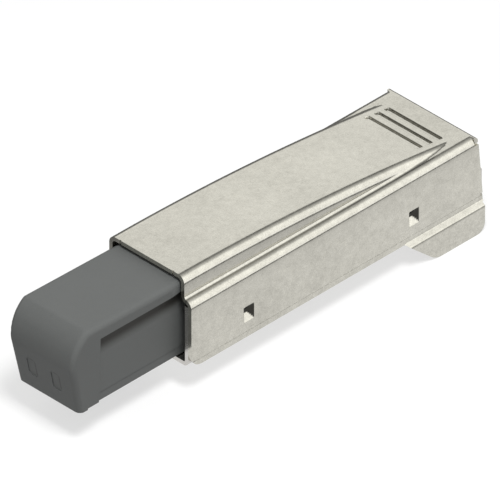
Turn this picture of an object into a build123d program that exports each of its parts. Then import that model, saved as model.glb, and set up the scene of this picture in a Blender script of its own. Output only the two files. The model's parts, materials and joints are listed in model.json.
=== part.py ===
from build123d import *

import os
from math import cos, degrees, radians, sin, sqrt, tan

# A clip-on soft close damper for a cabinet hinge, in millimetres, +Z up.
# Drawn with x = 0 at the mouth of the housing, y = 0 in the middle and z = 0 on the seat that
# rests on the hinge arm. The plunger stands out of the mouth towards -X and is pushed in to +X.
# write_pieces moves everything to the part's origin, on the seat below the housing's middle.

# Housing: a cover and an inner tray, both pressed from one gauge of sheet
sheet = 0.7
cover_length = 62.2
cover_half = 9.45
rear_lean = 1.54
rear_round = 0.6
front_round = 2.3
seat_middle = 30.0

# The cover's top: a flat shoulder, and a crown that sinks into it towards the rear
shoulder_height = 12.38
shoulder_bend = 1.3
crown_height = 16.08
crown_half = 7.97
crown_corner = 0.97
crown_fade = 57.0
flare_radius = 1.3

# The crease low on the cover's sides, and the notches in its edges
crease_height = 1.12
crease_depth = 0.1
edge_notch = 0.35
lip_half = 5.4
rear_notch_height = 5.8
rear_notch_size = 0.5
corner_relief = 0.4

# Three grooves pressed across the rear of the crown
groove_count = 3
groove_pitch = 2.15
groove_from_rear = 10.35
groove_half = 5.8
groove_width = 1.1
groove_depth = 0.35
groove_corner = 0.3
groove_draft = 20.0

# Ears that straddle the hinge arm
ear_length = 16.8
ear_from_rear = 0.3
ear_drop = 5.14
ear_joggle = 0.55
ear_slant = 0.15
ear_root = 0.3
ear_front_angle = 41.0
ear_front_round = 2.0
ear_rear_round = 1.7

# Dimples pressed in from the sides, which key the tray and the carrier to the cover
dimple_front = 12.1
dimple_from_rear = 14.9
dimple_height = 4.28
dimple_length = 2.2
dimple_rise = 2.8
dimple_depth = 0.85
dimple_taper = 0.6
dimple_gap = 0.15

# Inner tray
tray_top_gap = 0.18
tray_bend = 0.95
tray_from_rear = 1.7
tab_low = 0.9
tab_high = 4.7
tab_bend = 1.2
tab_reach = 1.1
tab_inner_y = 3.0
tongue_start = 17.8
tongue_length = 8.2
tongue_half = 2.5
tongue_drop = 1.6
tongue_slit = 0.4

# Guide carrier: two guide walls joined by the block that anchors the rod
seat_gap = 0.02
carrier_lift = 0.2
carrier_front = 4.0
carrier_from_rear = 1.8
carrier_top_gap = 0.68
guide_wall = 1.41
guide_gap = 0.25
lead_in = 0.6
anchor_length = 8.8
core_wall = 1.3
core_height = 7.0
lug_gap = 0.1

# Plunger
stroke = 15.0
end_gap = 1.0
nose_stop_gap = 1.6
nose_depth = 4.5
nose_lean = 8.5
nose_draft = 0.45
nose_corner = 1.0
brow_rise = 7.6
brow_radius = 6.7
foot_drop = 0.25
foot_length = 2.2
floor_gap = 0.23
roof_gap = 0.27
top_gap = 0.62
top_slope = 0.023
top_overlap = 4.0
ledge_drop = 2.03
mouth_taper = 0.27
tail_gap = 0.55
tail_wall = 0.85
panel_band = 1.55
panel_band_depth = 0.1
recess_spacing = 5.1
recess_width = 1.9
recess_height = 3.5
recess_depth = 0.5
recess_rise = 4.3
hollow_half = 5.0
hollow_wall = 0.85
rib_count = 3
rib_width = 2.0
rib_pocket_depth = 0.8

# Damper: the cylinder travels with the plunger, and the rod stays with the housing
cylinder_fit = 0.05
cylinder_wall = 0.9
cylinder_end = 1.5
rod_radius = 1.25
rod_fit = 0.05
rod_clearance = 0.25
rod_head_radius = 2.2
rod_head_length = 1.2
rod_neck_wall = 4.2
spigot_radius = 0.8
spigot_fit = 0.02
spigot_groove = 0.2
piston_length = 3.5
piston_fit = 0.08
ring_width = 1.3
ring_depth = 0.7
ring_fit = 0.04
ring_split = 0.5
flow_hole = 0.35
flow_holes = 4
disc_thickness = 0.3
disc_cup_gap = 0.34
clip_thickness = 0.4
cup_wall = 0.4
cup_depth = 1.8
cup_gap = 0.15
spring_wire = 0.6
spring_turns = 8
wire_sides = 8
fork_thickness = 0.7
fork_grip = 0.85
fork_fit = 0.05
tail_lip = 1.1
cap_flange = 0.6
cap_spigot = 1.4
guide_length = 2.6
o_ring_section = 1.1
o_ring_side_gap = 0.1
seal_length = 2.2
washer_thickness = 0.6
foam_length = 4.2
foam_disc = 0.8
bore_fit = 0.04
least_round = 0.1
face_gap = 0.02
rest_gap = 0.3

# How the housing's sizes follow
side_top = shoulder_height - shoulder_bend
crown_rise = crown_height - shoulder_height
crown_radius = (crown_fade ** 2 + crown_rise ** 2) / (2 * crown_rise)
crown_axis = Axis((0, 0, crown_height - crown_radius), (0, 1, 0))
flare_y = crown_half + flare_radius
bend_y = cover_half - shoulder_bend
flare_z = side_top + sqrt((shoulder_bend + flare_radius) ** 2 - (flare_y - bend_y) ** 2)
tray_half = cover_half - sheet
tray_inner = tray_half - sheet
tray_height = side_top - tray_top_gap
tray_length = cover_length - tray_from_rear
ear_rear = cover_length - ear_from_rear
ear_front = ear_rear - ear_length
dimple_places = (dimple_front, cover_length - dimple_from_rear)

# How the carrier's and the plunger's sizes follow
carrier_half = tray_inner - seat_gap
carrier_bottom = sheet + carrier_lift
carrier_top = shoulder_height - sheet - carrier_top_gap
carrier_rear = cover_length - carrier_from_rear
guide_half = carrier_half - guide_wall
anchor_front = carrier_rear - anchor_length
panel_half = guide_half - guide_gap
tail_end = anchor_front - end_gap - stroke
step_x = -(stroke + nose_stop_gap)
nose_front = step_x - nose_depth
plunger_bottom = sheet + floor_gap
top_half = crown_half - sheet - roof_gap
top_at_mouth = crown_height - sheet - top_gap


def crown_line(x):
    """Height of the crown's top at x, along the arc that sinks into the shoulder."""
    return crown_height - crown_radius + sqrt(crown_radius ** 2 - x ** 2)


def plunger_line(x):
    """Height of the plunger's top at x."""
    return top_at_mouth - top_slope * x


roof_at_end = max(crown_line(tail_end + stroke), shoulder_height) - sheet
tail_top = roof_at_end - tail_gap
ledge_height = plunger_line(0) - ledge_drop
axis_height = (tail_top + plunger_bottom) / 2

# How the damper's sizes follow, from the tail's end towards the nose
cylinder_radius = (tail_top - plunger_bottom) / 2 - tail_wall - cylinder_fit
bore_radius = cylinder_radius - cylinder_wall
inner_radius = bore_radius - bore_fit
fork_rear = tail_end - tail_lip
fork_front = fork_rear - fork_thickness
cap_rear = fork_front - fork_fit
cylinder_rear = cap_rear - cap_flange
cap_front = cylinder_rear - cap_spigot
guide_front = cap_front - face_gap - guide_length
seal_front = guide_front - face_gap - seal_length
washer_front = seal_front - face_gap - washer_thickness
foam_front = washer_front - face_gap - foam_length
foam_disc_front = foam_front - face_gap - foam_disc
cylinder_front = step_x + nose_stop_gap
bore_front = cylinder_front + cylinder_end
piston_rear = foam_disc_front - rest_gap
piston_front = piston_rear - piston_length
disc_front = piston_front - disc_thickness
clip_front = disc_front - clip_thickness
cup_front = piston_front - cup_depth
cup_radius = bore_radius - cup_wall - cup_gap
spring_radius = cup_radius - cup_wall - spring_wire / 2
head_front = anchor_front + rod_neck_wall
head_rear = head_front + rod_head_length
middle_radius = (rod_radius + inner_radius) / 2


def block(x0, x1, y0, y1, z0, z1):
    """A straight-sided block between two corners."""
    middle = Pos((x0 + x1) / 2, (y0 + y1) / 2, (z0 + z1) / 2)
    return middle * Box(x1 - x0, y1 - y0, z1 - z0)


def polygon(*points):
    """A face inside straight lines through the points."""
    return make_face(Polyline(*points, close=True))


def along_x(face, start, end):
    """A section drawn as (y, z), drawn out from start to end."""
    return Pos(start, 0, 0) * extrude(Plane.YZ * face, end - start)


def across_y(face, half):
    """A side outline drawn as (x, z), drawn out to both sides of the middle."""
    return extrude(Plane.XZ * face, half, both=True)


def up_z(face, low, high):
    """A plan drawn as (x, y), drawn up from low to high."""
    return Pos(0, 0, low) * extrude(face, high - low)


def both_sides(solid):
    """The solid and its mirror image on the other side of the middle."""
    return solid + mirror(solid, Plane.XZ)


def turned(*points):
    """An outline drawn as (x, radius), turned about the damper's axis."""
    return Pos(0, 0, axis_height) * revolve(Plane.XZ * polygon(*points), Axis.X)


def ring(start, end, outer, inner):
    """A plain ring or tube about the damper's axis."""
    return turned((start, inner), (end, inner), (end, outer), (start, outer))


def rod(start, end, radius):
    """A plain round bar about the damper's axis."""
    return ring(start, end, radius, 0)


def follow_crown(face):
    """A section drawn as (y, z) at the mouth, carried along the crown's arc."""
    lead = 2.0
    reach = degrees((cover_length + 2 * lead) / crown_radius)
    swept = revolve(Plane.YZ * face, crown_axis, reach)
    return swept.rotate(crown_axis, -degrees(lead / crown_radius))


def shoulder_form(inset):
    """The side walls and the flat shoulder between them, inset all round."""
    half = cover_half - inset
    top = shoulder_height - inset
    section = polygon((-half, -1), (half, -1), (half, top), (-half, top))
    corners = section.vertices().group_by(Axis.Y)[-1]
    section = fillet(corners, max(shoulder_bend - inset, least_round))
    return along_x(section, -2, cover_length + 2)


def crown_form(inset):
    """The crown alone, inset all round."""
    half = crown_half - inset
    top = crown_height - inset
    low = side_top - 2
    section = polygon((-half, low), (half, low), (half, top), (-half, top))
    corners = section.vertices().group_by(Axis.Y)[-1]
    return follow_crown(fillet(corners, max(crown_corner - inset, least_round)))


def flare_form(inset):
    """The hollow curve at the crown's foot, which runs tangent into the shoulder's bend."""
    half = crown_half - inset
    radius = flare_radius + inset
    root = half - 1
    tangent_angle = degrees(atan_of(flare_z - side_top, flare_y - bend_y))
    foot = CenterArc((flare_y, flare_z), radius, 180, tangent_angle)
    closing = Polyline(foot @ 1, (bend_y, side_top), (root, side_top), (root, flare_z), foot @ 0)
    straight = along_x(make_face(foot + closing), -2, cover_length + 2)
    hang_z = crown_height - crown_corner
    outside = flare_y + 2
    low = 0
    curl = CenterArc((flare_y, hang_z), radius, 180, 90)
    under = Polyline(
        curl @ 1, (outside, hang_z - radius), (outside, low), (root, low), (root, hang_z), curl @ 0
    )
    return both_sides(straight & follow_crown(make_face(curl + under)))


def atan_of(rise, run):
    """The angle of a slope, in radians."""
    return radians(Vector(1, 0).get_angle(Vector(run, rise)))


def pressed_form(inset):
    """Shoulder, crown and flare as one solid, inset by a distance from the cover's skin."""
    return shoulder_form(inset) + crown_form(inset) + flare_form(inset)


def groove_punch(x, grow):
    """The punch for one groove, square to the crown; grown, it gives the groove's inside."""
    tilt = degrees(x / crown_radius)
    plan = RectangleRounded(groove_width + grow, 2 * groove_half + grow, groove_corner + grow / 4)
    nose = extrude(plan, groove_depth + grow, dir=(0, 0, -1), taper=groove_draft)
    return Pos(x, 0, crown_line(x)) * Rot(0, tilt, 0) * (extrude(plan, 1) + nose)


def cover_trim():
    """The side outline that the pressed sheet is cut to."""
    rear_top = cover_length - rear_lean
    outline = polygon(
        (0, 0),
        (cover_length, 0),
        (rear_top, shoulder_height),
        (crown_fade + 1, shoulder_height),
        (crown_fade + 1, crown_height + 1),
        (0, crown_height + 1),
    )
    outline = fillet(outline.vertices().sort_by_distance((0, 0))[0], front_round)
    outline = fillet(
        outline.vertices().sort_by_distance((rear_top, shoulder_height))[0], rear_round
    )
    return across_y(outline, cover_half + 1)


def ear():
    """One ear: it joggles outwards below the wall and hangs beside the hinge arm."""
    inner = cover_half
    outer = cover_half + sheet
    root = ear_root
    section = polygon(
        (cover_half - sheet, root),
        (cover_half - crease_depth, root),
        (cover_half - crease_depth, sheet - ear_joggle),
        (outer, ear_slant - ear_joggle),
        (outer, -ear_drop),
        (inner, -ear_drop),
        (inner, -ear_joggle),
        (cover_half - sheet, 0),
    )
    slope = (ear_drop + root) / tan(radians(ear_front_angle))
    outline = polygon(
        (ear_front, root), (ear_front + slope, -ear_drop), (ear_rear, -ear_drop), (ear_rear, root)
    )
    low = outline.vertices().group_by(Axis.Y)[0].sort_by(Axis.X)
    outline = fillet(low[0], ear_front_round)
    low = outline.vertices().sort_by_distance((ear_rear, -ear_drop))
    outline = fillet(low[0], ear_rear_round)
    return along_x(section, ear_front - 1, ear_rear + 1) & across_y(outline, outer + 1)


def dimple_wedge(length, rise, outer_y, inner_y):
    """A tapered plug along Y, narrower at its inner end."""
    wide = Plane.XZ * Rectangle(length, rise)
    narrow = Plane.XZ * Rectangle(length * (1 - dimple_taper), rise * (1 - dimple_taper))
    return loft([Pos(0, outer_y, 0) * wide, Pos(0, inner_y, 0) * narrow])


def at_dimples(solid):
    """Copies of a solid at all the dimples, on both sides."""
    copies = [Pos(x, 0, dimple_height) * solid for x in dimple_places]
    return both_sides(copies[0] + copies[1:])


def make_cover():
    """The pressed cover, with its crown, grooves, dimples and ears."""
    first_groove = cover_length - groove_from_rear
    groove_places = [first_groove + n * groove_pitch for n in range(groove_count)]
    hollow = pressed_form(sheet)
    skin = pressed_form(0) & cover_trim()
    for x in groove_places:
        hollow -= groove_punch(x, sheet)
        skin -= groove_punch(x, 0)
    cover = skin - hollow
    band_y = cover_half - crease_depth
    cover -= both_sides(
        block(-1, cover_length + 1, band_y, cover_half + 1, -1, crease_height)
    )
    cover += both_sides(ear())
    floor_y = cover_half - dimple_depth
    cover += at_dimples(
        dimple_wedge(dimple_length, dimple_rise, tray_half + sheet / 2, floor_y - sheet)
    )
    cover -= at_dimples(dimple_wedge(dimple_length, dimple_rise, cover_half, floor_y))
    notch = block(-1, edge_notch, lip_half, lip_half + edge_notch, flare_z, crown_height + 1)
    edge_x = cover_length - rear_lean * rear_notch_height / shoulder_height
    rear_notch = block(
        edge_x - edge_notch,
        cover_length,
        tray_half - least_round,
        cover_half + 1,
        rear_notch_height - rear_notch_size / 2,
        rear_notch_height + rear_notch_size / 2,
    )
    relief = block(
        cover_length - rear_lean - rear_round - edge_notch,
        cover_length,
        bend_y - corner_relief / 2,
        bend_y + corner_relief / 2,
        side_top - sheet,
        shoulder_height + 1,
    )
    return cover - both_sides(notch) - both_sides(rear_notch) - both_sides(relief)


def tray_tab():
    """One tab, bent in behind the carrier from the tray's side wall."""
    rear = cover_length + tab_reach
    outline = polygon(
        (tray_length - 1, tray_inner),
        (tray_length - 1, tray_half),
        (rear, tray_half),
        (rear, tab_inner_y),
        (rear - sheet, tab_inner_y),
        (rear - sheet, tray_inner),
    )
    outline = fillet(outline.vertices().sort_by_distance((rear, tray_half))[0], tab_bend)
    inner = outline.vertices().sort_by_distance((rear - sheet, tray_inner))[0]
    outline = fillet(inner, max(tab_bend - sheet, least_round))
    return up_z(outline, tab_low, tab_high)


def make_inner_tray():
    """The folded tray, with its windows, rear tabs and catch tongue."""
    section = polygon((-tray_half, 0), (tray_half, 0), (tray_half, tray_height), (-tray_half, tray_height))
    section = fillet(section.vertices().group_by(Axis.Y)[0], tray_bend)
    space = polygon(
        (-tray_inner, sheet),
        (tray_inner, sheet),
        (tray_inner, tray_height + 1),
        (-tray_inner, tray_height + 1),
    )
    space = fillet(space.vertices().group_by(Axis.Y)[0], max(tray_bend - sheet, least_round))
    tray = along_x(section - space, 0, tray_length)
    window = Box(dimple_length + 2 * dimple_gap, 4 * sheet, dimple_rise + 2 * dimple_gap)
    tray -= at_dimples(Pos(0, tray_half, 0) * window)
    tray += both_sides(tray_tab())
    tongue_end = tongue_start + tongue_length
    slot_half = tongue_half + tongue_slit
    tray -= block(tongue_start, tongue_end + tongue_slit, -slot_half, slot_half, -1, carrier_bottom)
    tongue = polygon(
        (tongue_start - 0.5, 0),
        (tongue_start + 0.5, 0),
        (tongue_end, -tongue_drop),
        (tongue_end, sheet - tongue_drop),
        (tongue_start + 0.5, sheet),
        (tongue_start - 0.5, sheet),
    )
    return tray + across_y(tongue, tongue_half)


def make_guide_carrier():
    """The moulding that guides the plunger's tail and holds the rod's head."""
    body = block(
        carrier_front, carrier_rear, -carrier_half, carrier_half, carrier_bottom, carrier_top
    )
    low_edges = body.edges().filter_by(Axis.X).group_by(Axis.Z)[0]
    body = chamfer(low_edges, max(tray_bend - sheet, least_round))
    above = carrier_top + 1
    body -= block(carrier_front - 1, anchor_front, -guide_half, guide_half, -1, above)
    mouth = polygon(
        (carrier_front - 1, guide_half + lead_in),
        (carrier_front, guide_half + lead_in),
        (carrier_front + 2 * lead_in, guide_half),
        (carrier_front - 1, guide_half),
    )
    body -= both_sides(up_z(mouth, 0, above))
    neck = rod_radius + rod_fit
    head = rod_head_radius + rod_fit
    body -= rod(anchor_front - 1, head_front, neck)
    body -= block(anchor_front - 1, head_front, -neck, neck, axis_height, above)
    body -= rod(head_front - rod_fit, head_rear + rod_fit, head)
    body -= block(head_front - rod_fit, head_rear + rod_fit, -head, head, axis_height, above)
    core_low = axis_height - core_height / 2
    core_high = axis_height + core_height / 2
    core = block(
        anchor_front + core_wall,
        carrier_rear + 1,
        head + core_wall,
        carrier_half - core_wall,
        core_low,
        core_high,
    )
    body -= both_sides(core)
    lug_rear = cover_length + tab_reach - sheet - seat_gap
    lug = block(
        carrier_rear - core_wall, lug_rear, tab_inner_y, carrier_half - tab_bend, tab_low + lug_gap, core_low
    )
    body += both_sides(lug)
    pocket = Box(dimple_length, 2 * dimple_gap + 2 * dimple_depth, dimple_rise)
    return body - at_dimples(Pos(0, carrier_half, 0) * pocket)


def front_line(z):
    """The plunger's leaning front at a height."""
    return nose_front - tan(radians(nose_lean)) * (z - plunger_bottom)


def nose_profile():
    """The nose from the side: a leaning front, and a brow that curves back to the top."""
    lean = radians(nose_lean)
    brow_z = plunger_bottom + brow_rise
    front = Line((front_line(0), 0), (front_line(brow_z), brow_z))
    centre = Vector(front_line(brow_z) + brow_radius * cos(lean), brow_z + brow_radius * sin(lean))
    brow = CenterArc(centre, brow_radius, 180 + nose_lean, -90 - nose_lean)
    rear = Polyline(brow @ 1, (tail_end, (brow @ 1).Y), (tail_end, 0), front @ 0)
    return make_face(front + brow + rear)


def plunger_body():
    """The plunger's outer form, before anything is cut into it."""
    foot_z = plunger_bottom - foot_drop
    foot_rear = nose_front + foot_length
    ahead = nose_front - nose_depth
    outline = polygon(
        (ahead, foot_z),
        (foot_rear, foot_z),
        (foot_rear, plunger_bottom),
        (tail_end, plunger_bottom),
        (tail_end, tail_top),
        (top_overlap, tail_top),
        (top_overlap, plunger_line(top_overlap)),
        (ahead, plunger_line(ahead)),
    )
    section = polygon(
        (nose_draft - top_half, 0),
        (top_half - nose_draft, 0),
        (top_half, ledge_height),
        (top_half, crown_height),
        (-top_half, crown_height),
        (-top_half, ledge_height),
    )
    body = across_y(outline & nose_profile(), top_half) & along_x(section, ahead, tail_end)
    return fillet(nose_edges(body), nose_corner)


def nose_edges(body):
    """The edges round the nose's front, the crease above it and the top's two sides."""
    edges = body.edges().filter_by(lambda edge: edge.center().Z > plunger_bottom)
    high = edges.filter_by(lambda edge: edge.center().Z > ledge_height + least_round)
    high = high.filter_by(lambda edge: edge.center().X < top_overlap - least_round)
    low = edges.filter_by(lambda edge: edge.center().Z < ledge_height)
    low = low.filter_by(lambda edge: edge.center().X < step_x and abs(edge.center().Y) > recess_spacing)
    return high + low


def nose_recess(y):
    """One shallow recess in the nose's leaning front."""
    lean = radians(nose_lean)
    place = (front_line(recess_rise + plunger_bottom), y, recess_rise + plunger_bottom)
    face = Plane(origin=place, x_dir=(0, 1, 0), z_dir=(-cos(lean), 0, -sin(lean)))
    return extrude(
        face * RectangleRounded(recess_width, recess_height, recess_width / 3), recess_depth, both=True
    )


def make_plunger():
    """The moulded plunger: a nose that the door meets, and a tail that holds the cylinder."""
    body = plunger_body()
    outside = cover_half
    behind = tail_end + 1
    body -= both_sides(block(step_x, behind, panel_half, outside, -1, ledge_height))
    band_y = panel_half - panel_band_depth
    body -= both_sides(block(step_x, behind, band_y, outside, -1, plunger_bottom + panel_band))
    mouth = polygon(
        (-nose_stop_gap, top_half),
        (nose_stop_gap / 2, top_half - mouth_taper),
        (behind, top_half - mouth_taper),
        (behind, outside),
        (-nose_stop_gap, outside),
    )
    body -= both_sides(up_z(mouth, ledge_height - 1, crown_height))
    body -= rod(cylinder_front - face_gap, behind, cylinder_radius + cylinder_fit)
    hollow_low = axis_height + cylinder_radius + cylinder_fit + tail_wall
    hollow_high = plunger_line(top_overlap) - hollow_wall
    body -= block(cylinder_front, behind, -hollow_half, hollow_half, hollow_low, hollow_high)
    for side in (-1, 1):
        body -= nose_recess(side * recess_spacing / 2)
    pocket_start = top_overlap + rib_width
    pocket_pitch = (fork_front - rib_width - pocket_start) / rib_count
    for n in range(rib_count):
        start = pocket_start + n * pocket_pitch
        pocket = block(
            start,
            start + pocket_pitch - rib_width,
            panel_half - rib_pocket_depth,
            outside,
            plunger_bottom + 2 * tail_wall,
            tail_top - 2 * tail_wall,
        )
        body -= both_sides(pocket)
    slot_half = cylinder_radius + fork_grip + 2 * fork_fit
    slot_low = axis_height - cylinder_radius + fork_grip
    slot = block(
        fork_front - fork_fit, fork_rear + fork_fit, -slot_half, slot_half, slot_low, tail_top + 1
    )
    return body - slot


def make_piston_rod():
    """The rod: a spigot for the piston, a long shank and a head anchored in the carrier."""
    groove = spigot_radius - spigot_groove
    return turned(
        (clip_front - 3 * face_gap - cup_wall, 0),
        (clip_front - 3 * face_gap - cup_wall, spigot_radius),
        (clip_front - face_gap, spigot_radius),
        (clip_front - face_gap, groove),
        (disc_front, groove),
        (disc_front, spigot_radius),
        (piston_rear, spigot_radius),
        (piston_rear, rod_radius),
        (head_front, rod_radius),
        (head_front, rod_head_radius),
        (head_rear, rod_head_radius),
        (head_rear, 0),
    )


def make_piston():
    """The piston, with its ring groove and its flow holes."""
    outer = bore_radius - piston_fit
    floor = outer - ring_depth
    groove_front = (piston_front + piston_rear - ring_width) / 2
    groove_rear = groove_front + ring_width
    piston = turned(
        (piston_front, spigot_radius + spigot_fit),
        (piston_rear, spigot_radius + spigot_fit),
        (piston_rear, outer),
        (groove_rear, outer),
        (groove_rear, floor),
        (groove_front, floor),
        (groove_front, outer),
        (piston_front, outer),
    )
    hole_circle = (spigot_radius + floor) / 2
    for n in range(flow_holes):
        turn = Rot(360 * n / flow_holes, 0, 0)
        hole = turn * Pos(0, 0, hole_circle) * Cylinder(flow_hole, 3 * piston_length, rotation=(0, 90, 0))
        piston -= Pos(piston_front, 0, axis_height) * hole
    return piston


def make_piston_ring():
    """The split ring in the piston's groove."""
    outer = bore_radius - ring_fit
    inner = bore_radius - piston_fit - ring_depth + ring_fit
    middle = (piston_front + piston_rear) / 2
    half = ring_width / 2 - face_gap
    band = ring(middle - half, middle + half, outer, inner)
    return band - block(
        piston_front, piston_rear, -ring_split / 2, ring_split / 2, axis_height, crown_height
    )


def make_piston_clip():
    """The open clip in the spigot's groove, which keeps the valve disc and the piston on."""
    bore = spigot_radius - spigot_groove + spigot_fit
    clip = ring(clip_front, disc_front - face_gap, 2 * spigot_radius, bore)
    return clip - block(clip_front - 1, disc_front + 1, -bore, bore, 0, axis_height)


def make_spring_cup():
    """The cup that carries the spring's thrust past the clip to the piston's face."""
    return turned(
        (cup_front, spigot_radius + rod_clearance),
        (cup_front, cup_radius),
        (piston_front, cup_radius),
        (piston_front, cup_radius - cup_wall),
        (cup_front + cup_wall, cup_radius - cup_wall),
        (cup_front + cup_wall, spigot_radius + rod_clearance),
    )


def make_return_spring():
    """The coil spring between the cylinder's end and the spring cup."""
    start = bore_front + spring_wire / 2 + face_gap
    end = cup_front - spring_wire / 2 - face_gap
    length = end - start
    coil = Helix(
        length / spring_turns, length, spring_radius, (start, 0, axis_height), (1, 0, 0)
    )
    section = Plane(origin=coil @ 0, z_dir=coil % 0) * RegularPolygon(spring_wire / 2, wire_sides)
    return sweep(section, coil, is_frenet=True)


def make_damper_cylinder():
    """The cylinder, closed at the nose end."""
    return turned(
        (cylinder_front, 0),
        (cylinder_front, cylinder_radius - cylinder_wall / 2),
        (cylinder_front + cylinder_wall / 2, cylinder_radius),
        (cylinder_rear, cylinder_radius),
        (cylinder_rear, bore_radius),
        (bore_front, bore_radius),
        (bore_front, 0),
    )


def make_cylinder_cap():
    """The stepped cap that closes the cylinder behind the rod guide."""
    hole = rod_radius + rod_clearance
    return turned(
        (cap_front, hole),
        (cap_front, inner_radius),
        (cylinder_rear + face_gap, inner_radius),
        (cylinder_rear + face_gap, cylinder_radius),
        (cap_rear, cylinder_radius),
        (cap_rear, hole),
    )


def make_rod_guide():
    """The bush that the rod runs in, with the groove for the cap's ring seal."""
    rear = guide_front + guide_length
    middle = (guide_front + rear) / 2
    half = o_ring_section / 2 + o_ring_side_gap
    floor = inner_radius - o_ring_section
    return turned(
        (guide_front, rod_radius + rod_fit),
        (rear, rod_radius + rod_fit),
        (rear, inner_radius),
        (middle + half, inner_radius),
        (middle + half, floor),
        (middle - half, floor),
        (middle - half, inner_radius),
        (guide_front, inner_radius),
    )


def make_cap_o_ring():
    """The ring seal between the rod guide and the cylinder."""
    middle = guide_front + guide_length / 2
    section = RegularPolygon(o_ring_section / 2 - face_gap, wire_sides)
    centre = Pos(middle, inner_radius - o_ring_section / 2)
    return Pos(0, 0, axis_height) * revolve(Plane.XZ * centre * section, Axis.X)


def make_rod_seal():
    """The lip seal on the rod: solid behind, open in a V towards the oil."""
    rear = seal_front + seal_length
    inner = rod_radius + rod_fit
    return turned(
        (seal_front, inner),
        (rear, inner),
        (rear, inner_radius),
        (seal_front, inner_radius),
        (seal_front, inner_radius - (inner_radius - inner) / 4),
        (seal_front + seal_length / 2, middle_radius),
        (seal_front, inner + (inner_radius - inner) / 4),
    )


def make_retaining_fork():
    """The steel fork that drops in from above, astride the rod, and keeps the cap in."""
    half = cylinder_radius + fork_grip
    low = axis_height - cylinder_radius + fork_grip + fork_fit
    plate = block(fork_front, fork_rear, -half, half, low, tail_top - fork_fit)
    gap = rod_radius + rod_clearance
    plate -= block(fork_front - 1, fork_rear + 1, -gap, gap, low - 1, axis_height)
    return plate - rod(fork_front - 1, fork_rear + 1, gap)


def write_pieces():
    """Builds every piece and writes each to its own file."""
    loose = rod_radius + rod_clearance
    disc_radius = cup_radius - cup_wall - disc_cup_gap
    pieces = {
        "cover": make_cover(),
        "inner_tray": make_inner_tray(),
        "guide_carrier": make_guide_carrier(),
        "plunger": make_plunger(),
        "damper_cylinder": make_damper_cylinder(),
        "piston_rod": make_piston_rod(),
        "piston": make_piston(),
        "piston_ring": make_piston_ring(),
        "valve_disc": ring(disc_front, piston_front, disc_radius, spigot_radius + spigot_fit),
        "piston_clip": make_piston_clip(),
        "spring_cup": make_spring_cup(),
        "return_spring": make_return_spring(),
        "foam_washer": ring(foam_disc_front, foam_front - face_gap, inner_radius, loose),
        "foam_sleeve": ring(foam_front, washer_front - face_gap, inner_radius, loose),
        "seal_washer": ring(washer_front, seal_front - face_gap, inner_radius, loose),
        "rod_seal": make_rod_seal(),
        "rod_guide": make_rod_guide(),
        "cap_o_ring": make_cap_o_ring(),
        "cylinder_cap": make_cylinder_cap(),
        "retaining_fork": make_retaining_fork(),
    }
    os.makedirs("parts", exist_ok=True)
    for name, piece in pieces.items():
        export_step(Pos(-seat_middle, 0, 0) * piece, f"parts/{name}.step")


write_pieces()
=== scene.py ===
import json
import logging
from bisect import bisect_right
from dataclasses import dataclass, field
from enum import Enum
from math import asin, atan2, cos, degrees, hypot, radians, sin, sqrt, tan

import bmesh
import bpy
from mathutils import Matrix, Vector


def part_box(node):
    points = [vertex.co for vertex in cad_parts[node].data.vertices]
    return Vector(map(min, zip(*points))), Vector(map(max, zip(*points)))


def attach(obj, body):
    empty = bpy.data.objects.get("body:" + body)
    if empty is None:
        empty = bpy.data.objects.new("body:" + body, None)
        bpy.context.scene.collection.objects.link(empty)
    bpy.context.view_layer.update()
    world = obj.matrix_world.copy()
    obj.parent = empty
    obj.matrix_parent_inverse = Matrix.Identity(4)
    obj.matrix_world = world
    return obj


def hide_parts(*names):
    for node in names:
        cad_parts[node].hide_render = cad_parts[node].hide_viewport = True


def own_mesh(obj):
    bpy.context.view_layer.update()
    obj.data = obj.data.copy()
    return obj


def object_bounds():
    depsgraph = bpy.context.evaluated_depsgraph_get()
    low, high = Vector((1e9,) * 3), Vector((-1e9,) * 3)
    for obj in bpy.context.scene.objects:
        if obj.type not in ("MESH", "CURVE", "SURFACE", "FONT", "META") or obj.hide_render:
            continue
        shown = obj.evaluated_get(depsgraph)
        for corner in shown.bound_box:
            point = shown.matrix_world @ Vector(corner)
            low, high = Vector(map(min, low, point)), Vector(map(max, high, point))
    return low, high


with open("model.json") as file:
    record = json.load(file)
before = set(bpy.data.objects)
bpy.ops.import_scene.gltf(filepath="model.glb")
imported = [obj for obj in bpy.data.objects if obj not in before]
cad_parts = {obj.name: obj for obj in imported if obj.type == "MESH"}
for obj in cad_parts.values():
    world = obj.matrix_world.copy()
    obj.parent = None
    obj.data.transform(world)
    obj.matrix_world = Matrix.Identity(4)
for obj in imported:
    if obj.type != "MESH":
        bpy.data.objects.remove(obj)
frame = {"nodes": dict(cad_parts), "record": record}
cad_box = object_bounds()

MM = 0.001
# The attribute and near-black colour of painted shade: darkening painted into hollows, creases and bends
# where shade and dark reflections fall
PAINTED_SHADE = "painted_shade"
PAINTED_SHADE_COLOUR = (0.02, 0.019, 0.016)
# The gap in mm under which two places count as one
CLOSE = 0.01
# Which of a Mix node's sockets hold colours
MIX_COLOUR_INPUTS = (6, 7)
MIX_COLOUR_RESULT = 2
log = logging.getLogger("damper")


class Body(Enum):
    """The two bodies that pieces ride on."""

    HOUSING = "housing"
    PLUNGER = "plunger"


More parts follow.
